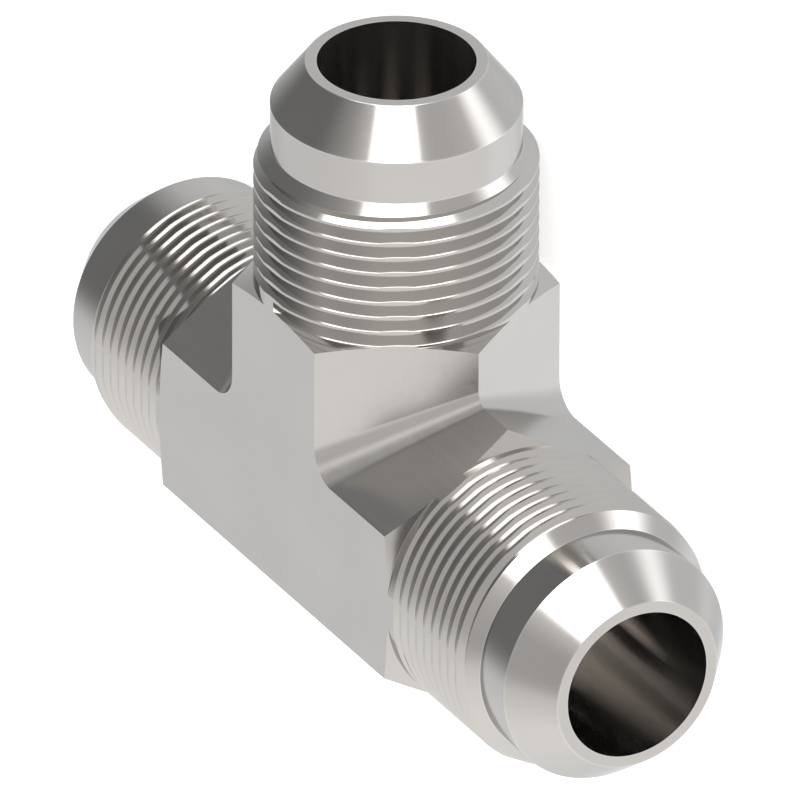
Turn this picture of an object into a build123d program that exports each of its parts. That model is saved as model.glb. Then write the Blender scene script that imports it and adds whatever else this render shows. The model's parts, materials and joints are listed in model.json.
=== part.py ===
from build123d import *
from build123d.topology import SkipClean
import math
import os

# A union tee for flared tube. It is one forging, machined from hexagon stock: a run along X and a
# branch along +Y cross at the origin, and each of the three arms ends in the same port, which has
# an outside thread, a plain nose and a 37 degree seat for the flare of a tube. The part lies on the
# flat that faces -Z. All sizes are in millimetres.

# Body: two hexagons of one size, with their side flats in one plane
across_flats = 22.05
run_end = 37.1            # centre of the run to each of its ends
branch_end = 37.1         # centre of the run to the end of the branch

# Port: the same on the three arms, measured from its end back to the hexagon
port_length = 19.35       # end face to the shoulder, at the thread's outside
thread_diameter = 22.225  # outside of the thread, 7/8 in
lead_angle = 45.0         # chamfer that leads the nut onto the thread
nose_diameter = 19.65
nose_length = 3.6         # plain cylinder between the seat and the lead chamfer
seat_angle = 37.0         # seat for the flare, from the port's axis
face_diameter = 14.25     # flat ring at the very end
bore_diameter = 12.4      # passage through the run and down the branch

# Shoulder: cone that breaks the hexagon's corners, from a plane across the arm
shoulder_angle = 17.5

# Inside corners between branch and run: wide at the side flats, tighter where the ridges meet
corner_radius_at_flat = 2.55
corner_radius_at_ridge = 1.2

# Allowances that leave no mark on the finished part
blank_allowance = 1.5     # the lathe's outline starts this far outside the hexagon's corners
root_depth = 3.0          # the metal that fills an inside corner is buried this deep in the body

flat_to_centre = across_flats / 2
side_length = across_flats / math.sqrt(3)      # also the distance from the axis to a corner edge
half_flat_width = side_length / 2              # half the width of one flat of the hexagon


def arm_profile(end):
    """Half outline that the lathe leaves: x runs along the arm's axis and y is the radius."""
    blank_radius = side_length + blank_allowance
    thread_radius = thread_diameter / 2
    nose_radius = nose_diameter / 2
    face_radius = face_diameter / 2
    shoulder = end - port_length
    cone_start = shoulder - (blank_radius - thread_radius) * math.tan(math.radians(shoulder_angle))
    seat_start = end - (nose_radius - face_radius) / math.tan(math.radians(seat_angle))
    nose_start = seat_start - nose_length
    lead_start = nose_start - (thread_radius - nose_radius) / math.tan(math.radians(lead_angle))
    with BuildLine() as outline:
        Polyline(
            (0, 0),
            (0, blank_radius),
            (cone_start, blank_radius),
            (shoulder, thread_radius),
            (lead_start, thread_radius),
            (nose_start, nose_radius),
            (seat_start, nose_radius),
            (end, face_radius),
            (end, 0),
            close=True,
        )
    return outline.line


def turned_arm(across, end):
    """One arm: hexagon stock standing on the plane across it, turned to the port's outline."""
    along = Plane(origin=across.origin, x_dir=across.z_dir, z_dir=across.y_dir)
    with BuildPart() as arm:
        with BuildSketch(across):
            RegularPolygon(radius=flat_to_centre, side_count=6, major_radius=False)
        extrude(amount=end)
        with BuildSketch(along):
            with BuildLine():
                add(arm_profile(end))
            make_face()
        revolve(axis=Axis(across.origin, across.z_dir), mode=Mode.INTERSECT)
    return arm.part


def corner_section(height, corner, radius):
    """Section of one inside corner: the corner's edge lies at x = y = corner, buried by its root."""
    root = corner - root_depth
    with BuildSketch(Plane.XY.offset(height)) as section:
        with BuildLine():
            Polyline(
                (corner, corner + radius),
                (root, corner + radius),
                (root, root),
                (corner + radius, root),
                (corner + radius, corner),
            )
            RadiusArc((corner, corner + radius), (corner + radius, corner), -radius)
        make_face()
    return section.sketch


# The planes stand across each arm at the centre, with x towards one corner of the hexagon
run_front = Plane(origin=(0, 0, 0), x_dir=(0, 1, 0), z_dir=(1, 0, 0))
run_back = Plane(origin=(0, 0, 0), x_dir=(0, 1, 0), z_dir=(-1, 0, 0))
branch_up = Plane(origin=(0, 0, 0), x_dir=(1, 0, 0), z_dir=(0, 1, 0))

front_arm = turned_arm(run_front, run_end)
back_arm = turned_arm(run_back, run_end)
branch_arm = turned_arm(branch_up, branch_end)

# The branch meets the run along four mitres. Each one is filled by a tapering inside corner,
# lofted from the side flat to the ridge and mirrored to the other three.
with BuildPart() as inside_corners:
    add(corner_section(flat_to_centre, half_flat_width, corner_radius_at_flat))
    add(corner_section(0, side_length, corner_radius_at_ridge))
    loft(ruled=True)
    mirror(about=Plane.XY)
    mirror(about=Plane.YZ)

# Each port is drilled from its own end to the centre, where the three drillings meet. Without the
# usual cleaning they stay three walls, so that each port's bore can be picked by itself.
with BuildPart() as tee_body:
    add([front_arm, back_arm, branch_arm])
    add(inside_corners.part)
    with SkipClean():
        for across, end in ((run_front, run_end), (run_back, run_end), (branch_up, branch_end)):
            with BuildSketch(across):
                Circle(bore_diameter / 2)
            extrude(amount=end, mode=Mode.SUBTRACT)

tee_body.part.label = "tee_body"

os.makedirs("parts", exist_ok=True)
export_step(tee_body.part, "parts/tee_body.step")
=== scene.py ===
# %% [markdown]
# # A tee adapter for flared tube, cut from one block of steel
#
# The real part starts as a forging in the shape of a T, with arms like hexagon bar. A lathe turns
# each of its three ends to a port, cuts a thread on it, and drills it through. The packed CAD model
# has all of those forms but one: where the threads are, it has plain cylinders. This lesson makes
# the same block again, in the order of the workshop, and cuts real threads into it: stock, turning,
# threading, drilling. Each tool leaves its own finish on the metal that it cuts.
#
# The first cell loads the packed model. It is the fixed frame for everything that follows.

# %% Load the packed model
import json
import math
import bmesh
import bpy
from mathutils import Matrix, Vector


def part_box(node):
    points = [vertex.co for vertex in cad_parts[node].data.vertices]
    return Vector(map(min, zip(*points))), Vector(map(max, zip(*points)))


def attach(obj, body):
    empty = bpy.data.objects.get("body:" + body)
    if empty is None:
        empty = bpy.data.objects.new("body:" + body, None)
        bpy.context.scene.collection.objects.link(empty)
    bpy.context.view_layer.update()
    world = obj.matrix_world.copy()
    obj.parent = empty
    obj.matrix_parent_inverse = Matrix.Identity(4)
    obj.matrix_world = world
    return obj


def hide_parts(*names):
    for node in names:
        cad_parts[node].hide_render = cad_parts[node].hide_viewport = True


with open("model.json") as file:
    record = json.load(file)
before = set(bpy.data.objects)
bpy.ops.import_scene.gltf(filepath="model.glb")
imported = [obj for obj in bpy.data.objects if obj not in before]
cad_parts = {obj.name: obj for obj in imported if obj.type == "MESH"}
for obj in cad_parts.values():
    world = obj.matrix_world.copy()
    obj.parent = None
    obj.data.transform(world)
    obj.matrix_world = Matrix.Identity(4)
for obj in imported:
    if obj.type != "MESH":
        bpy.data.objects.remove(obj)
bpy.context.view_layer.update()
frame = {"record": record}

# %% [markdown]
# ## Sizes
#
# Blender works in metres here, so a size in millimetres is written as a number times MM. Whatever
# the packed model already says is read from it: the box of its one node gives the arms' ends and
# the hexagon, and its mounts give the bores and the outside of the threads. Only the port's own
# small forms are typed here, from the end of the arm inwards: a flat ring at the very end, the 37
# degree seat that the tube's flare is pressed on, a plain nose, and a chamfer that leads the nut in.
#
# The edges between these forms are worked out by one helper. The lathe follows them later on, and
# near them the steel is a little worn and carries a painted highlight.

# %% Read the sizes
MM = 0.001
low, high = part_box("tee_body")
mount_radius = {m["name"]: m["dims"].get("r_mm", 0) * MM for m in frame["record"]["mounts"]}

run_end = high.x
branch_end = high.y
flat_to_centre = high.z
ridge_to_centre = -low.y
half_flat_width = ridge_to_centre / 2
bore_radius = mount_radius["run_bore"]
thread_radius = mount_radius["front_thread"]

port_length = 19.35 * MM
nose_radius = 9.825 * MM
nose_length = 3.6 * MM
face_radius = 7.125 * MM
seat_angle = math.radians(37)
lead_angle = math.radians(45)
shoulder_angle = math.radians(17.5)

ends = {"front": run_end, "back": run_end, "branch": branch_end}


def port_edges(end):
    """The turned edges of a port, from the end inwards, as (along, radius)."""
    seat_start = end - (nose_radius - face_radius) / math.tan(seat_angle)
    nose_start = seat_start - nose_length
    lead_start = nose_start - (thread_radius - nose_radius) / math.tan(lead_angle)
    return [
        (end, bore_radius),
        (end, face_radius),
        (seat_start, nose_radius),
        (nose_start, nose_radius),
        (lead_start, thread_radius),
    ]


print("ends mm", {name: round(end / MM, 3) for name, end in ends.items()})
print("hexagon mm across flats", round(2 * flat_to_centre / MM, 3))
print("hexagon mm across corners", round(2 * ridge_to_centre / MM, 3))
print("bore and thread radius mm", round(bore_radius / MM, 3), round(thread_radius / MM, 4))
print("run port edges mm", [(round(a / MM, 2), round(r / MM, 2)) for a, r in port_edges(run_end)])

# %% [markdown]
# ## Camera
#
# In the photograph, edges that are parallel on the part stay parallel, and the near port is no
# larger than the far one. A long lens from far away sees the part like that. Two angles say where
# the camera stands round the part. The roll then turns the picture until the branch points up,
# although the part lies on its side. The aim shifts the picture a little, so that the part sits
# where it does in the photograph. A still longer lens would come nearer to the parallel view, by a
# pixel or two at the far port, but when the camera is taken round the part with a longer lens, it
# loses sight of the part.

# %% Place the camera
view_azimuth = math.radians(123.8055)
view_elevation = math.radians(25.8584)
view_roll = math.radians(-106.1114)
view_distance = 2552.4 * MM
half_angle = math.radians(0.7)
aim_right = 0.354 * MM
aim_up = 5.839 * MM
film_width = 36
nearest_seen = 0.5
farthest_seen = 20

back = Vector((
    math.sin(view_azimuth) * math.cos(view_elevation),
    -math.cos(view_azimuth) * math.cos(view_elevation),
    math.sin(view_elevation),
))
level = Vector((0, 0, 1)).cross(back).normalized()
upright = back.cross(level)
right = level * math.cos(view_roll) + upright * math.sin(view_roll)
up = upright * math.cos(view_roll) - level * math.sin(view_roll)

camera_data = bpy.data.cameras.new("long_lens")
camera_data.sensor_width = film_width
camera_data.lens = film_width / 2 / math.tan(half_angle)
camera_data.clip_start = nearest_seen
camera_data.clip_end = farthest_seen
camera = bpy.data.objects.new("camera", camera_data)
camera.matrix_world = (
    Matrix.Translation(back * view_distance + right * aim_right + up * aim_up)
    @ Matrix((right, up, back)).transposed().to_4x4()
)
bpy.context.scene.collection.objects.link(camera)
bpy.context.scene.camera = camera
print("lens mm", round(camera_data.lens), "from", [round(v, 2) for v in camera.matrix_world.translation])

# %% [markdown]
# ## A helper for the metal's nodes
#
# All finishes of this part are put together from the same few nodes. They could be set out by hand
# in the shader editor, but the seven finishes would repeat the same links, so a small class makes
# them. Each call takes plain numbers as well as outputs of other nodes, and hands back an output
# that the next call can use. The last call measures how near a point is to some target points, which
# the worn edges with their painted highlight need later on.

# %% Collect the node calls
class Shading:
    """A new metal with a few short calls for its nodes."""

    def __init__(self, name):
        self.material = bpy.data.materials.new(name)
        self.material.use_nodes = True
        self.nodes = self.material.node_tree.nodes
        self.links = self.material.node_tree.links
        self.shader = self.nodes["Principled BSDF"]
        self.place = self.nodes.new("ShaderNodeTexCoord").outputs["Object"]

    def put(self, socket, value):
        if isinstance(value, bpy.types.NodeSocket):
            self.links.new(value, socket)
        else:
            socket.default_value = value

    def calc(self, operation, a, b=0.0):
        node = self.nodes.new("ShaderNodeMath")
        node.operation = operation
        self.put(node.inputs[0], a)
        self.put(node.inputs[1], b)
        return node.outputs[0]

    def parts(self):
        node = self.nodes.new("ShaderNodeSeparateXYZ")
        self.put(node.inputs[0], self.place)
        return node.outputs

    def point(self, x, y, z):
        node = self.nodes.new("ShaderNodeCombineXYZ")
        for socket, value in zip(node.inputs, (x, y, z)):
            self.put(socket, value)
        return node.outputs[0]

    def noise(self, where, size, detail):
        node = self.nodes.new("ShaderNodeTexNoise")
        self.put(node.inputs["Vector"], where)
        node.inputs["Scale"].default_value = 1 / size
        node.inputs["Detail"].default_value = detail
        return node.outputs["Fac"]

    def spread(self, value, lowest, highest, start=0.3, end=0.7):
        node = self.nodes.new("ShaderNodeMapRange")
        self.put(node.inputs["Value"], value)
        limits = {"From Min": start, "From Max": end, "To Min": lowest, "To Max": highest}
        for name, number in limits.items():
            node.inputs[name].default_value = number
        return node.outputs["Result"]

    def blend(self, share, first, second):
        node = self.nodes.new("ShaderNodeMix")
        node.data_type = "RGBA"
        self.put(node.inputs["Factor"], share)
        for socket, colour in zip((s for s in node.inputs if s.type == "RGBA"), (first, second)):
            self.put(socket, colour)
        return next(s for s in node.outputs if s.type == "RGBA")

    def closeness(self, where, targets, reach):
        """1 at the nearest of the target points and 0 from reach on."""
        nearest = None
        for target in targets:
            node = self.nodes.new("ShaderNodeVectorMath")
            node.operation = "DISTANCE"
            self.put(node.inputs[0], where)
            node.inputs[1].default_value = (*target, 0)
            far = node.outputs["Value"]
            nearest = self.calc("MINIMUM", nearest, far) if nearest else far
        return self.spread(nearest, 1, 0, 0, reach)


print("node calls", [name for name in vars(Shading) if not name.startswith("_")])

# %% [markdown]
# ## Steel, and the marks of the tools
#
# The whole part is one metal, a warm grey steel, so one set of nodes serves every finish. What
# differs is the mark that each tool leaves. A metal in Blender is a Principled shader with Metallic
# at 1: its colour then tints what it mirrors, and its roughness blurs it. Three things vary over the
# surface. A broad, soft pattern shifts the colour a little, as handled steel does. A fine pattern,
# drawn out along the tool's path, varies the roughness. The same fine pattern raises the surface by
# a fraction of a micrometre, enough to break up a reflection.
#
# The part is new, so its edges are hardly worn. Only next to a turned edge is the steel a little
# brighter and rougher, and unevenly so along the fine marks: a little wear, and a painted highlight
# in the brighter colour. The outline that the lathe follows says where those edges are. A rendered
# metal also brightens towards its silhouette. The photograph shows next to none of that, so the tint
# at glancing angles is held down.
#
# The pattern is read from Object coordinates, so it is as large as on the real part and needs no
# unwrapping. The mark_path argument is what gives each tool its path: it turns the coordinates into
# the ones that the fine pattern changes with.

# %% Mix a steel for one tool
steel_light = (0.572, 0.554, 0.535, 1)
steel_dark = (0.550, 0.533, 0.515, 1)
edge_tint = (0.75, 0.745, 0.74, 1)
# The brighter colour near the turned edges: a little wear and a painted highlight.
steel_worn_and_highlit = (0.66, 0.645, 0.63, 1)
patch_size = 9 * MM
wear_and_highlight_reach = 0.16 * MM
wear_roughness = 0.06
least_wear_and_highlight = 0.4
patch_detail = 2
mark_detail = 3


def steel(name, mark_path, mark_size, roughness, unevenness, mark_height, brightness=1.0, edges=()):
    """A finish of the part's steel: mark_path gives the coordinates that its fine marks follow."""
    made = Shading(name)
    path = mark_path(made)
    marks = made.noise(path, mark_size, mark_detail)
    dark, light = ([c * brightness for c in colour[:3]] + [1] for colour in (steel_dark, steel_light))
    patches = made.noise(made.place, patch_size, patch_detail)
    tone = made.blend(made.spread(patches, 0, 1), dark, light)
    rough = made.spread(marks, roughness - unevenness, roughness + unevenness)
    if edges:
        # Near a turned edge the colour is lifted, as a little wear and a painted highlight, and the steel
        # is rougher.
        near = made.closeness(path, edges, wear_and_highlight_reach)
        worn_and_highlit = made.calc("MULTIPLY", near, made.spread(marks, least_wear_and_highlight, 1))
        tone = made.blend(worn_and_highlit, tone, steel_worn_and_highlit)
        rough = made.calc("ADD", rough, made.calc("MULTIPLY", worn_and_highlit, wear_roughness))
    made.put(made.shader.inputs["Base Color"], tone)
    made.put(made.shader.inputs["Roughness"], rough)
    made.shader.inputs["Metallic"].default_value = 1
    made.shader.inputs["Specular Tint"].default_value = edge_tint
    relief = made.nodes.new("ShaderNodeBump")
    relief.inputs["Distance"].default_value = mark_height
    made.put(relief.inputs["Height"], marks)
    made.put(made.shader.inputs["Normal"], relief.outputs["Normal"])
    return made.material


print("worn within mm", round(wear_and_highlight_reach / MM, 2), "of each turned edge")

# %% [markdown]
# ## A finish for each tool
#
# The flats are milled in passes along the run, so their marks are much longer than wide, and they
# are the dullest of all. A lathe's marks are rings: they change along the arm and with the distance
# from its axis, and never round it. Those two numbers are worked out from the coordinates, for an
# arm along X or along Y. The thread's flanks are cut in one sweep and have the finest marks. In a
# bore the chips draw streaks along it, so there the pattern changes across the bore much faster than
# along it. To draw a pattern out along one direction, that coordinate is multiplied by a small
# number, so that the pattern changes slowly with it.
#
# A bore darkens with every reflection, and the photograph's bores stay lighter than plain steel
# would, so their steel is painted brighter than the rest: painted light that lifts the shade inside them.

# %% Make the finishes
milled_draw = 0.04
streak_draw = 0.03


def along_run_flats(made):
    x, y, z = made.parts()
    return made.point(made.calc("MULTIPLY", x, milled_draw), y, z)


def lathe_rings(axis, others):
    def path(made):
        parts = made.parts()
        squares = [made.calc("MULTIPLY", parts[other], parts[other]) for other in others]
        radius = made.calc("SQRT", made.calc("ADD", *squares))
        return made.point(made.calc("ABSOLUTE", parts[axis]), radius, 0.0)
    return path


def drawn_streaks(axis):
    def path(made):
        parts = list(made.parts())
        parts[axis] = made.calc("MULTIPLY", parts[axis], streak_draw)
        return made.point(*parts)
    return path


milled = {"mark_size": 0.5 * MM, "roughness": 0.22, "unevenness": 0.02, "mark_height": 0.00008 * MM}
turned = {"mark_size": 0.16 * MM, "roughness": 0.12, "unevenness": 0.015, "mark_height": 0.00006 * MM}
threaded = {"mark_size": 0.1 * MM, "roughness": 0.10, "unevenness": 0.015, "mark_height": 0.00003 * MM}
drilled = {"mark_size": 1.4 * MM, "roughness": 0.17, "unevenness": 0.03, "mark_height": 0.0001 * MM}
flat_brightness = 1.05
# The bores' steel is painted brighter, as painted light that lifts the shade inside them.
bore_painted_lift = 1.45
run_rings = lathe_rings("X", "YZ")
branch_rings = lathe_rings("Y", "XZ")

finishes = {
    "stock": steel("milled_flats", along_run_flats, **milled, brightness=flat_brightness),
    "run_turned": steel("turned_run_port", run_rings, **turned, edges=port_edges(run_end)),
    "branch_turned": steel("turned_branch_port", branch_rings, **turned, edges=port_edges(branch_end)),
    "run_thread": steel("cut_run_thread", run_rings, **threaded),
    "branch_thread": steel("cut_branch_thread", branch_rings, **threaded),
    "run_bore": steel("drilled_run_bore", drawn_streaks(0), **drilled, brightness=bore_painted_lift),
    "branch_bore": steel("drilled_branch_bore", drawn_streaks(1), **drilled, brightness=bore_painted_lift),
}
print("finishes", [material.name for material in finishes.values()])

# %% [markdown]
# ## The stock
#
# Seen from above, the stock is a T. Its side flats are the narrow T at the top and the bottom, and
# half way up, where the hexagons' ridges are, the T is at its widest. Straight faces join the
# three outlines, which is what a loft does: rings with the same number of points, joined point by
# point. That gives the six flats of each arm and the mitres between them in one go. In the two
# inside corners of the T the forging is rounded. The radius is larger at the flats than at the
# ridge, so the rounding tapers, as the photograph shows it.
#
# The stock is a little longer than the finished part, so that the lathe has something to face off.

# %% Loft the stock
spare_end = 1 * MM
corner_steps = 24
corner_radius_at_flat = 2.55 * MM
corner_radius_at_ridge = 1.2 * MM


def face_outwards(mesh):
    shape = bmesh.new()
    shape.from_mesh(mesh)
    bmesh.ops.recalc_face_normals(shape, faces=shape.faces)
    shape.to_mesh(mesh)
    shape.free()


def mesh_object(name, points, faces, material=None):
    """An object at the origin, with its place in its mesh and its faces pointing outwards."""
    mesh = bpy.data.meshes.new(name)
    mesh.from_pydata(points, [], faces)
    face_outwards(mesh)
    if material:
        mesh.materials.append(material)
    made = bpy.data.objects.new(name, mesh)
    bpy.context.scene.collection.objects.link(made)
    return made


def tee_outline(half_width, corner_radius, height):
    """The T at one height, with the run and the branch of the same half width."""
    run, branch = run_end + spare_end, branch_end + spare_end
    centre = half_width + corner_radius
    quarter = [math.pi / 2 * step / corner_steps for step in range(corner_steps + 1)]
    arc = [(centre - corner_radius * math.sin(t), centre - corner_radius * math.cos(t)) for t in quarter]
    points = [(-run, -half_width), (run, -half_width), (run, half_width)] + arc
    points += [(half_width, branch), (-half_width, branch)]
    points += [(-x, y) for x, y in reversed(arc)] + [(-run, half_width)]
    return [(x, y, height) for x, y in points]


def loft(name, rings, material):
    count = len(rings[0])
    faces = [tuple(range(count)), tuple(range((len(rings) - 1) * count, len(rings) * count))]
    for start in range(0, (len(rings) - 1) * count, count):
        for k in range(count):
            a, b = start + k, start + (k + 1) % count
            faces.append((a, b, b + count, a + count))
    return mesh_object(name, [point for ring in rings for point in ring], faces, material)


body = loft("threaded_body", [
    tee_outline(half_flat_width, corner_radius_at_flat, -flat_to_centre),
    tee_outline(ridge_to_centre, corner_radius_at_ridge, 0),
    tee_outline(half_flat_width, corner_radius_at_flat, flat_to_centre),
], finishes["stock"])


def volume_of(piece):
    shape = bmesh.new()
    shape.from_mesh(piece.data)
    volume = shape.calc_volume()
    open_edges = sum(1 for edge in shape.edges if not edge.is_manifold)
    shape.free()
    return round(volume / MM ** 3, 1), open_edges


print("stock: mm3 and open edges", volume_of(body))

# %% [markdown]
# ## What the lathe takes off
#
# A lathe leaves a surface of revolution, and so does the waste that it removes. It is drawn as an
# outline of points, each one a distance along the arm and a radius, and turned round the arm's
# axis. The lathe could also be a Screw modifier, but the outline written as faces keeps each end
# closed by a fan that meets in one point. The same helper makes the drills later on. The edge between
# the end face and the seat is rounded by a tenth of a millimetre, and that draws the thin bright
# line that the photograph has there.
#
# Each arm has a matrix that stands a shape made along Z on that arm. Its columns say where X, Y and
# Z go, and they make a right-handed frame, so that nothing is mirrored and a right-hand thread
# stays right-hand.

# %% Outline the port
round_segments = 180
rim_rounding = 0.1 * MM
rim_steps = 4
clear_of_stock = 1.5 * MM
past_face = 3 * MM


def stand_on(across_x, across_y, along):
    return Matrix((Vector(across_x), Vector(across_y), Vector(along))).transposed().to_4x4()


arms = {
    "front": stand_on((0, 0, 1), (0, -1, 0), (1, 0, 0)),
    "back": stand_on((0, 0, 1), (0, 1, 0), (-1, 0, 0)),
    "branch": stand_on((0, 0, 1), (1, 0, 0), (0, 1, 0)),
}


def revolve(name, outline, arm, material):
    """A closed solid from (along, radius) points that start and end on the axis."""
    points, faces = [], []
    rings = []
    for along, radius in outline:
        count = round_segments if radius else 1
        rings.append([len(points) + k % count for k in range(round_segments + 1)])
        for k in range(count):
            turn = 2 * math.pi * k / round_segments
            points.append(arm @ Vector((radius * math.cos(turn), radius * math.sin(turn), along)))
    for near, far in zip(rings, rings[1:]):
        for k in range(round_segments):
            corners = (near[k], near[k + 1], far[k + 1], far[k])
            faces.append(tuple(dict.fromkeys(corners)))
    return mesh_object(name, points, faces, material)


def rounded_rim(end):
    """The edge between the end face and the seat, as points on a small arc."""
    turn = math.pi / 2 - seat_angle
    along, radius = end - rim_rounding, face_radius - rim_rounding * math.tan(turn / 2)
    angles = [math.pi / 2 - turn * step / rim_steps for step in range(rim_steps + 1)]
    return [(along + rim_rounding * math.sin(a), radius + rim_rounding * math.cos(a)) for a in angles]


def port_waste(end):
    """From the end face inwards to the shoulder's cone, and then round outside the stock."""
    outside = ridge_to_centre + clear_of_stock
    past_end = end + past_face
    shoulder = end - port_length
    cone_start = shoulder - (outside - thread_radius) * math.tan(shoulder_angle)
    return [
        (end, 0),
        *rounded_rim(end),
        *port_edges(end)[2:],
        (shoulder, thread_radius),
        (cone_start, outside),
        (past_end, outside),
        (past_end, 0),
    ]


print("port outline mm", [(round(a / MM, 2), round(r / MM, 2)) for a, r in port_waste(run_end)])

# %% [markdown]
# ## The thread
#
# A thread is a groove that a pointed tool cuts along a helix. It repeats and follows a path, so
# Geometry Nodes make it: a Spiral curve of constant radius is the path, and Curve to Mesh sweeps
# the tool's shape along it. The shape is a trapezoid, narrow at the root of the groove and wide
# outside. What stays between two turns is a thin crest.
#
# A Spiral turns the way of a left-hand thread until its Reverse input is on. Set Curve Normal in
# its Z Up mode keeps the trapezoid upright: its first axis points outwards, its second along the
# arm. The tree is built once, and each arm gives it its own pitch, because the photograph shows a
# slightly coarser thread on the branch than on the run. The Start Turn input turns the finished
# sweep about the arm's axis, which decides where round the arm the thread begins.

# %% Build the groove's node tree
def groove_tree():
    tree = bpy.data.node_groups.new("thread_groove", "GeometryNodeTree")
    sizes = ("Pitch", "Root Radius", "Root Width", "Top Width", "Cut Height",
             "Start Height", "End Height", "Start Turn")
    for name in sizes:
        tree.interface.new_socket(name, in_out="INPUT", socket_type="NodeSocketFloat")
    tree.interface.new_socket("Segments", in_out="INPUT", socket_type="NodeSocketInt")
    tree.interface.new_socket("Material", in_out="INPUT", socket_type="NodeSocketMaterial")
    tree.interface.new_socket("Geometry", in_out="OUTPUT", socket_type="NodeSocketGeometry")
    nodes, links = tree.nodes, tree.links
    given = nodes.new("NodeGroupInput").outputs

    def put(socket, value):
        if isinstance(value, bpy.types.NodeSocket):
            links.new(value, socket)
        else:
            socket.default_value = value

    def calc(operation, a, b):
        node = nodes.new("ShaderNodeMath")
        node.operation = operation
        put(node.inputs[0], a)
        put(node.inputs[1], b)
        return node.outputs[0]

    def point(x, y, z=0.0):
        node = nodes.new("ShaderNodeCombineXYZ")
        for socket, value in zip(node.inputs, (x, y, z)):
            put(socket, value)
        return node.outputs[0]

    length = calc("SUBTRACT", given["End Height"], given["Start Height"])
    spiral = nodes.new("GeometryNodeCurveSpiral")
    put(spiral.inputs["Resolution"], given["Segments"])
    put(spiral.inputs["Rotations"], calc("DIVIDE", length, given["Pitch"]))
    put(spiral.inputs["Start Radius"], given["Root Radius"])
    put(spiral.inputs["End Radius"], given["Root Radius"])
    put(spiral.inputs["Height"], length)
    put(spiral.inputs["Reverse"], True)
    upright_path = nodes.new("GeometryNodeSetCurveNormal")
    upright_path.mode = "Z_UP"
    put(upright_path.inputs["Curve"], spiral.outputs["Curve"])

    trapezoid = nodes.new("GeometryNodeCurvePrimitiveQuadrilateral")
    trapezoid.mode = "POINTS"
    corners = ((0.0, "Root Width", 0.5), ("Cut Height", "Top Width", 0.5),
               ("Cut Height", "Top Width", -0.5), (0.0, "Root Width", -0.5))
    for number, (out, width, share) in enumerate(corners, 1):
        out = given[out] if out else 0.0
        put(trapezoid.inputs[f"Point {number}"], point(out, calc("MULTIPLY", given[width], share)))

    sweep = nodes.new("GeometryNodeCurveToMesh")
    put(sweep.inputs["Curve"], upright_path.outputs["Curve"])
    put(sweep.inputs["Profile Curve"], trapezoid.outputs["Curve"])
    put(sweep.inputs["Fill Caps"], True)
    raised = nodes.new("GeometryNodeTransform")
    put(raised.inputs["Geometry"], sweep.outputs["Mesh"])
    put(raised.inputs["Translation"], point(0.0, 0.0, given["Start Height"]))
    put(raised.inputs["Rotation"], point(0.0, 0.0, given["Start Turn"]))
    realized = nodes.new("GeometryNodeRealizeInstances")
    put(realized.inputs["Geometry"], raised.outputs["Geometry"])
    coated = nodes.new("GeometryNodeSetMaterial")
    put(coated.inputs["Geometry"], realized.outputs["Geometry"])
    put(coated.inputs["Material"], given["Material"])
    put(nodes.new("NodeGroupOutput").inputs["Geometry"], coated.outputs["Geometry"])
    return tree


groove = groove_tree()
groove_inputs = {s.name: s.identifier for s in groove.interface.items_tree if s.in_out == "INPUT"}
print("groove inputs", sorted(groove_inputs))

# %% [markdown]
# ## Cutting
#
# A Boolean modifier takes a tool's shape away from the block. The Manifold solver is fast and exact
# for closed solids, which all of these are. In its Transfer mode the faces that a tool leaves behind
# bring the tool's own material with them, so every surface gets the finish of the tool that made
# it, without picking a single face by hand. After each cut the result becomes a plain mesh and the
# tool is deleted. The volume printed after each cut shows that something was cut, and the number of
# open edges that the result is still closed.

# %% Cut with a Boolean
def trim(work, tool, operation="DIFFERENCE"):
    modifier = work.modifiers.new("cut", "BOOLEAN")
    modifier.operation = operation
    modifier.solver = "MANIFOLD"
    modifier.material_mode = "TRANSFER"
    modifier.object = tool
    name = tool.name
    mesh = bpy.data.meshes.new_from_object(work.evaluated_get(bpy.context.evaluated_depsgraph_get()))
    work.modifiers.remove(modifier)
    work.data = mesh
    bpy.data.objects.remove(tool)
    print(work.name, operation.lower(), name, "mm3 and open edges", volume_of(work))


# %% [markdown]
# ## Sizes of the thread
#
# All three arms share one rule: the flanks lean by 31 degrees, and the crest is a fixed share of the
# pitch. The depth follows from both, so the coarser thread of the branch is a little deeper. A real
# thread of this kind has 30 degrees. One degree more lets the thin white lines appear along the
# branch's crests, as in the photograph. The groove's first turn comes in at its own height and turn
# on each arm, as in the photograph, where that shows. Outwards the tool reaches only a hair past the
# thread's outside, and at the other end the groove runs out through the lead chamfer.
#
# The tool mustn't undercut the shoulder's cone. So the sweep is kept, by a second Boolean, to the
# room that a real tool has: from the shoulder to the end, with a front side that slopes as the
# groove's own flank does.

# %% Cut a groove to size
thread_pitch = {"front": 1.21 * MM, "back": 1.21 * MM, "branch": 1.311 * MM}
groove_start = {"front": 17.90 * MM, "back": 17.62 * MM, "branch": 18.216 * MM}
start_turn = {"front": math.radians(40), "back": math.radians(12), "branch": 0}
groove_to_end = 5.4 * MM
flank_slope = math.tan(math.radians(31))
crest_share = 0.17
root_width = 0.03 * MM
reach_past = 0.06 * MM


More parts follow.
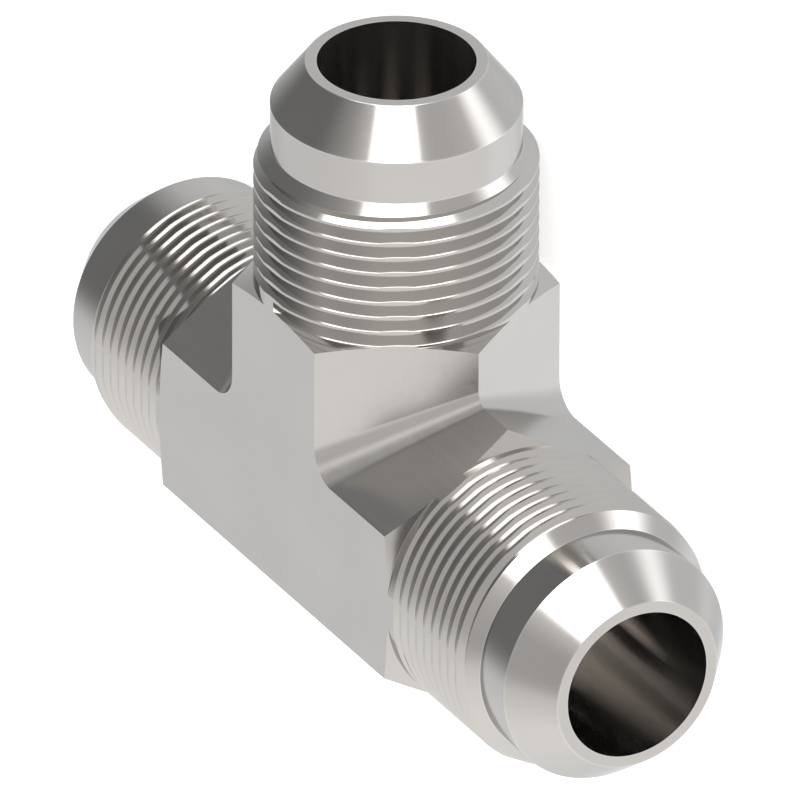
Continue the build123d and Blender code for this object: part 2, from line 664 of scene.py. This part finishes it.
def thread_groove(arm_name, material):
    pitch = thread_pitch[arm_name]
    thread_depth = (pitch * (1 - crest_share) - root_width) / 2 / flank_slope
    root_radius = thread_radius - thread_depth
    cut_height = thread_depth + reach_past
    end = ends[arm_name]
    inputs = {
        "Pitch": pitch,
        "Root Radius": root_radius,
        "Root Width": root_width,
        "Top Width": root_width + 2 * cut_height * flank_slope,
        "Cut Height": cut_height,
        "Start Height": groove_start[arm_name] + pitch * start_turn[arm_name] / (2 * math.pi),
        "Start Turn": start_turn[arm_name],
        "End Height": end - groove_to_end,
        "Segments": round_segments,
        "Material": material,
    }
    made = mesh_object("groove_" + arm_name, [], [])
    modifier = made.modifiers.new("groove", "NODES")
    modifier.node_group = groove
    for name, value in inputs.items():
        modifier[groove_inputs[name]] = value
    mesh = bpy.data.meshes.new_from_object(made.evaluated_get(bpy.context.evaluated_depsgraph_get()))
    made.modifiers.remove(modifier)
    mesh.transform(arms[arm_name])
    face_outwards(mesh)
    made.data = mesh
    turns = (inputs["End Height"] - inputs["Start Height"]) / pitch
    print(made.name, "turns", round(turns, 2), "depth mm", round(thread_depth / MM, 3))
    shoulder = end - port_length
    root_start = shoulder + thread_depth * flank_slope
    travel = [
        (root_start, 0),
        (root_start, root_radius),
        (shoulder, thread_radius),
        (shoulder, 2 * thread_radius),
        (end, 2 * thread_radius),
        (end, 0),
    ]
    trim(made, revolve("travel_" + arm_name, travel, arms[arm_name], material), "INTERSECT")
    return made


# %% [markdown]
# ## The order of the workshop
#
# Each arm is turned and then threaded. The bores come last: one drill goes right through the run,
# and the branch's own drill stops at the centre, where the three bores meet.

# %% Turn, thread and drill
for arm_name, arm in arms.items():
    side = "branch" if arm_name == "branch" else "run"
    trim(body, revolve("waste_" + arm_name, port_waste(ends[arm_name]), arm, finishes[side + "_turned"]))
    trim(body, thread_groove(arm_name, finishes[side + "_thread"]))

drill_reach = 45 * MM
run_drill = [(-drill_reach, 0), (-drill_reach, bore_radius), (drill_reach, bore_radius), (drill_reach, 0)]
branch_drill = [(0, 0), (0, bore_radius), (drill_reach, bore_radius), (drill_reach, 0)]
trim(body, revolve("run_drill", run_drill, arms["front"], finishes["run_bore"]))
trim(body, revolve("branch_drill", branch_drill, arms["branch"], finishes["branch_bore"]))

# %% [markdown]
# ## Smooth where it was turned, sharp where it was cut
#
# Neighbouring facets of a turned surface meet at 2 degrees, and every real edge of the part is much
# sharper than that. So all faces are shaded smooth, and each edge of more than 5 degrees is marked
# sharp. The turned faces then look round, and the flats stay flat up to their edges. The rounded rim
# keeps its few facets, which are narrower than a pixel, so that the flat ring beside it stays flat.

# %% Shade the body
edge_angle = math.radians(5)
body.data.name = "threaded_body"
body.data.shade_smooth()
body.data.set_sharp_from_angle(angle=edge_angle)
print("triangles", sum(len(face.vertices) - 2 for face in body.data.polygons))
print("materials", [material.name for material in body.data.materials])

# %% [markdown]
# ## Floor
#
# The part lies on a plain pale floor. In the photograph it hangs in pure white, with no shadow and
# nothing under it that the metal could mirror. A little light of its own brings the floor up to
# that white, and it is kept out of glossy reflections, so that the metal mirrors the studio on all
# sides.

# %% Lay the floor
floor_reach = 3
floor_white = 0.9
floor_glow = 0.6
corners = ((-1, -1), (1, -1), (1, 1), (-1, 1))
floor = mesh_object(
    "floor", [(floor_reach * x, floor_reach * y, -flat_to_centre) for x, y in corners], [(0, 1, 2, 3)])
paint = bpy.data.materials.new("pale_floor")
paint.use_nodes = True
floor_shader = paint.node_tree.nodes["Principled BSDF"]
floor_shader.inputs["Base Color"].default_value = (floor_white, floor_white, floor_white, 1)
floor_shader.inputs["Emission Color"].default_value = (1, 1, 1, 1)
floor_shader.inputs["Emission Strength"].default_value = floor_glow
floor.data.materials.append(paint)
floor.visible_glossy = False
print("floor at mm", round(-flat_to_centre / MM, 3))

# %% [markdown]
# ## Studio
#
# Bare metal has hardly any look of its own: what one sees in it is the room. In the photograph the
# seats show a white box overhead with crisp sides, the flats a bright and even room, and the left
# side of each cone a dark wall. So the studio is painted on the world, from all round: first the
# light that changes only with the height, bright below and a little darker above, then one soft
# rectangle after the other. A lamp would add a highlight, but a painted panel also gives the dark
# shapes, and it lights the scene as well.
#
# The threads need one panel of their own. Light that leaves one flank meets the next flank before
# it gets out, and the second reflection looks almost straight up in the picture. The ceiling light
# there reaches across the overhead box and gives the white streaks on the run's threads.
#
# A direction is given as seen from the camera: the azimuth to its right, the elevation towards the
# end of the branch, which points up in the picture. Round the branch's axis the camera stands
# about 60 degrees from +Z towards +X, and every azimuth starts from there.

# %% Start the sky
world = bpy.data.worlds.new("studio")
bpy.context.scene.world = world
world.use_nodes = True
bpy.context.scene.view_settings.view_transform = "Standard"
sky = world.node_tree
sky_direction = sky.nodes.new("ShaderNodeTexCoord").outputs["Generated"]
camera_turn = math.radians(60)


def toward(azimuth, elevation):
    turn, rise = math.radians(azimuth) + camera_turn, math.radians(elevation)
    return Vector((math.cos(rise) * math.sin(turn), math.sin(rise), math.cos(rise) * math.cos(turn)))


def sky_math(operation, a, b=0.0):
    node = sky.nodes.new("ShaderNodeMath")
    node.operation = operation
    for socket, value in zip(node.inputs, (a, b)):
        if isinstance(value, bpy.types.NodeSocket):
            sky.links.new(value, socket)
        else:
            socket.default_value = value
    return node.outputs[0]


def share_along(axis):
    node = sky.nodes.new("ShaderNodeVectorMath")
    node.operation = "DOT_PRODUCT"
    sky.links.new(sky_direction, node.inputs[0])
    node.inputs[1].default_value = axis
    return node.outputs["Value"]


def fade(value, start, end, first, last):
    node = sky.nodes.new("ShaderNodeMapRange")
    node.interpolation_type = "SMOOTHSTEP"
    sky.links.new(value, node.inputs["Value"])
    limits = {"From Min": start, "From Max": end, "To Min": first, "To Max": last}
    for name, number in limits.items():
        node.inputs[name].default_value = number
    return node.outputs["Result"]


print("the camera's side of the room", [round(v, 3) for v in toward(0, 0)])

# %% [markdown]
# ## A panel of light
#
# A panel faces the part, squarely. Its half sizes and its softness are tangents, so a half width of
# 1 reaches 45 degrees to each side, and its edges fade over the softness. A direction's offset from
# the middle of the panel is a sideways share divided by the share ahead. That also holds for the
# directions that point the other way, so the panel is shut off there.

# %% Hang a panel
barely_ahead = 0.02
smallest_share = 0.001


def add_panel(light, azimuth, elevation, half_width, half_height, softness, brightness):
    """Inside the panel the light takes its brightness, with soft edges."""
    aim = toward(azimuth, elevation)
    side = toward(azimuth + 90, 0)
    rise = aim.cross(side)
    ahead = share_along(aim)
    inside = sky_math("GREATER_THAN", ahead, barely_ahead)
    for axis, half in ((side, half_width), (rise, half_height)):
        offset = sky_math("DIVIDE", share_along(axis), sky_math("MAXIMUM", ahead, smallest_share))
        offset = sky_math("ABSOLUTE", offset)
        inside = sky_math("MULTIPLY", inside, fade(offset, half - softness, half + softness, 1, 0))
    mix = sky.nodes.new("ShaderNodeMix")
    sky.links.new(inside, mix.inputs["Factor"])
    sky.links.new(light, mix.inputs["A"])
    mix.inputs["B"].default_value = brightness
    return mix.outputs["Result"]


print("nodes in the sky before any panel", len(sky.nodes))

# %% [markdown]
# ## The panels of this studio
#
# Each line below is one panel: azimuth, elevation, half width, half height, softness, brightness. A
# later panel lies in front of an earlier one, so the large dim walls come first and the lamps last.
# They were placed by what the photograph's surfaces mirror: a flat shows one direction only, and a
# cone shows a whole ring of them.

# %% Light the studio
light_below = 1.065
light_above = 0.80
more_straight_down = 0.11
below_to_above = (-0.58, -0.16)
straight_down = (-0.98, -0.55)
panels = {
    "low left wall": (-83, -18, 1.60, 0.42, 0.42, 0.87),
    "back left wall": (-159, 6, 0.62, 0.59, 0.39, 0.42),
    "back right wall": (167, 8, 0.72, 0.53, 0.49, 0.90),
    "low right wall": (120, -26, 0.42, 0.33, 0.20, 1.16),
    "wall left of the camera": (-35, 4, 0.35, 0.41, 0.21, 0.55),
    "wall behind the camera": (8, 5, 0.36, 0.33, 0.13, 0.60),
    "left wall": (-104, 27, 1.10, 0.95, 0.54, 0.37),
    "dark part of the left wall": (-107, 17, 0.67, 0.55, 0.28, 0.22),
    "corner of the left wall": (-134, 39, 0.20, 0.20, 0.18, 0.215),
    "right wall": (61, 49, 0.40, 0.28, 0.10, 0.64),
    "side lamp": (100, 31, 0.19, 0.19, 0.17, 2.3),
    "ceiling light": (-90, 86, 0.26, 0.42, 0.05, 3.8),
    "overhead box": (-2, 59, 0.325, 0.46, 0.06, 3.8),
}
sky_height = share_along(Vector((0, 1, 0)))
light = sky_math(
    "ADD",
    fade(sky_height, *below_to_above, light_below, light_above),
    fade(sky_height, *straight_down, more_straight_down, 0),
)
for name, panel in panels.items():
    light = add_panel(light, *panel)
sky.links.new(light, sky.nodes["Background"].inputs["Strength"])
print("panels", list(panels))

# %% [markdown]
# ## Warm in front, cool behind
#
# In the photograph the faces that mirror the camera's side are a touch warmer than those that mirror
# the far side. So the whole room is tinted, by one or two parts in a hundred, and the tint turns
# softly from one side to the other.

# %% Tint the room
room_far = (0.984, 1.001, 1.010, 1)
room_near = (1.015, 0.997, 0.987, 1)
far_to_near = (-0.6, 0.6)
room_tint = sky.nodes.new("ShaderNodeMix")
room_tint.data_type = "RGBA"
sky.links.new(fade(share_along(toward(0, 0)), *far_to_near, 0, 1), room_tint.inputs["Factor"])
tint_colours = [socket for socket in room_tint.inputs if socket.type == "RGBA"]
tint_colours[0].default_value = room_far
tint_colours[1].default_value = room_near
tint_result = next(socket for socket in room_tint.outputs if socket.type == "RGBA")
sky.links.new(tint_result, sky.nodes["Background"].inputs["Color"])
print("tint behind", room_far[:3], "in front", room_near[:3])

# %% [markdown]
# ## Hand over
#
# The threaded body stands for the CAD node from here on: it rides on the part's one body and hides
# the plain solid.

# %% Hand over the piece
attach(body, "root")
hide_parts("tee_body")
